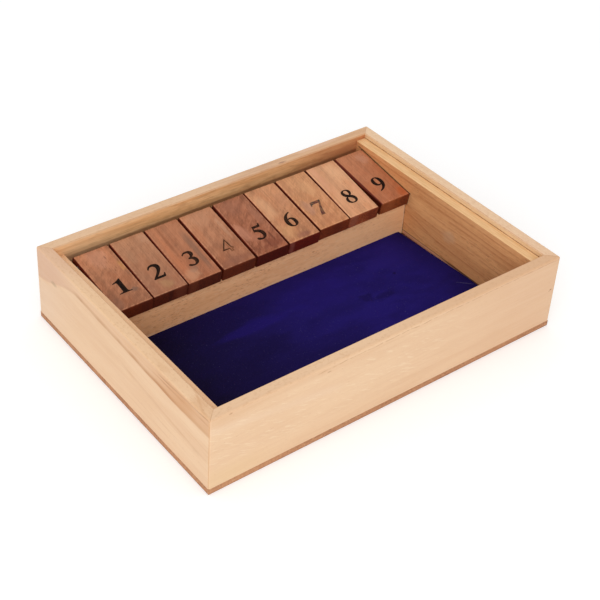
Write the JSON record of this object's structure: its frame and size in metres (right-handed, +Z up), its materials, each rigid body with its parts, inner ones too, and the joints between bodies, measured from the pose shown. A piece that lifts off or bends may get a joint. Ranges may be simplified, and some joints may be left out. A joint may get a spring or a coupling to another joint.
{
  "type": "shut the box game",
  "caption": "Open wooden tray game with a felt floor and a row of numbered wooden tiles that flip up one by one on a hidden rod.",
  "frame": {"origin": "middle of the underside of the base board", "axes": "+X along the long side with tile 1 at the -X end, +Y towards the wall behind the tiles, +Z up"},
  "size_m": [0.216, 0.1536, 0.0446],
  "materials": {
    "box_wood": "pale sanded wood with a thin satin varnish",
    "base_wood": "brown board with a sawn edge",
    "cheek_wood": "browner wood with lengthwise grain, satin",
    "rail_wood": "planed wood, satin",
    "blue_felt": "dark blue felt, matt",
    "rod_steel": "plain steel rod",
    "brad_steel": "plain steel",
    "tile_1_wood": "reddish-brown wood, satin, with a black number",
    "tile_2_wood": "reddish-brown wood, satin, with a black number",
    "tile_3_wood": "reddish-brown wood, satin, with a black number",
    "tile_4_wood": "reddish-brown wood, satin, with a black number",
    "tile_5_wood": "reddish-brown wood, satin, with a black number",
    "tile_6_wood": "reddish-brown wood, satin, with a black number",
    "tile_7_wood": "reddish-brown wood, satin, with a black number",
    "tile_8_wood": "reddish-brown wood, satin, with a black number",
    "tile_9_wood": "reddish-brown wood, satin, with a black number"
  },
  "bodies": {
    "box": {"front_wall": "box_wood", "back_wall": "box_wood", "left_wall": "box_wood", "right_wall": "box_wood", "base_board": "base_wood", "left_cheek": "cheek_wood", "right_cheek": "cheek_wood", "felt_lining": "blue_felt", "tile_rail": "rail_wood", "pivot_rod": "rod_steel", "corner_brads": "brad_steel", "base_brads": "brad_steel", "rail_brads": "brad_steel"},
    "tile_1": {"tile_1": "tile_1_wood"},
    "tile_2": {"tile_2": "tile_2_wood"},
    "tile_3": {"tile_3": "tile_3_wood"},
    "tile_4": {"tile_4": "tile_4_wood"},
    "tile_5": {"tile_5": "tile_5_wood"},
    "tile_6": {"tile_6": "tile_6_wood"},
    "tile_7": {"tile_7": "tile_7_wood"},
    "tile_8": {"tile_8": "tile_8_wood"},
    "tile_9": {"tile_9": "tile_9_wood"}
  },
  "joints": [
    {"name": "tile_1_flip", "type": "hinge", "parent": "box", "child": "tile_1", "pos_m": [0, 0.06115, 0.0342], "axis": [-1, 0, 0], "range_deg": [0, 125.5]},
    {"name": "tile_2_flip", "type": "hinge", "parent": "box", "child": "tile_2", "pos_m": [0, 0.06115, 0.0342], "axis": [-1, 0, 0], "range_deg": [0, 125.5]},
    {"name": "tile_3_flip", "type": "hinge", "parent": "box", "child": "tile_3", "pos_m": [0, 0.06115, 0.0342], "axis": [-1, 0, 0], "range_deg": [0, 125.5]},
    {"name": "tile_4_flip", "type": "hinge", "parent": "box", "child": "tile_4", "pos_m": [0, 0.06115, 0.0342], "axis": [-1, 0, 0], "range_deg": [0, 125.5]},
    {"name": "tile_5_flip", "type": "hinge", "parent": "box", "child": "tile_5", "pos_m": [0, 0.06115, 0.0342], "axis": [-1, 0, 0], "range_deg": [0, 125.5]},
    {"name": "tile_6_flip", "type": "hinge", "parent": "box", "child": "tile_6", "pos_m": [0, 0.06115, 0.0342], "axis": [-1, 0, 0], "range_deg": [0, 125.5]},
    {"name": "tile_7_flip", "type": "hinge", "parent": "box", "child": "tile_7", "pos_m": [0, 0.06115, 0.0342], "axis": [-1, 0, 0], "range_deg": [0, 125.5]},
    {"name": "tile_8_flip", "type": "hinge", "parent": "box", "child": "tile_8", "pos_m": [0, 0.06115, 0.0342], "axis": [-1, 0, 0], "range_deg": [0, 125.5]},
    {"name": "tile_9_flip", "type": "hinge", "parent": "box", "child": "tile_9", "pos_m": [0, 0.06115, 0.0342], "axis": [-1, 0, 0], "range_deg": [0, 125.5]}
  ]
}
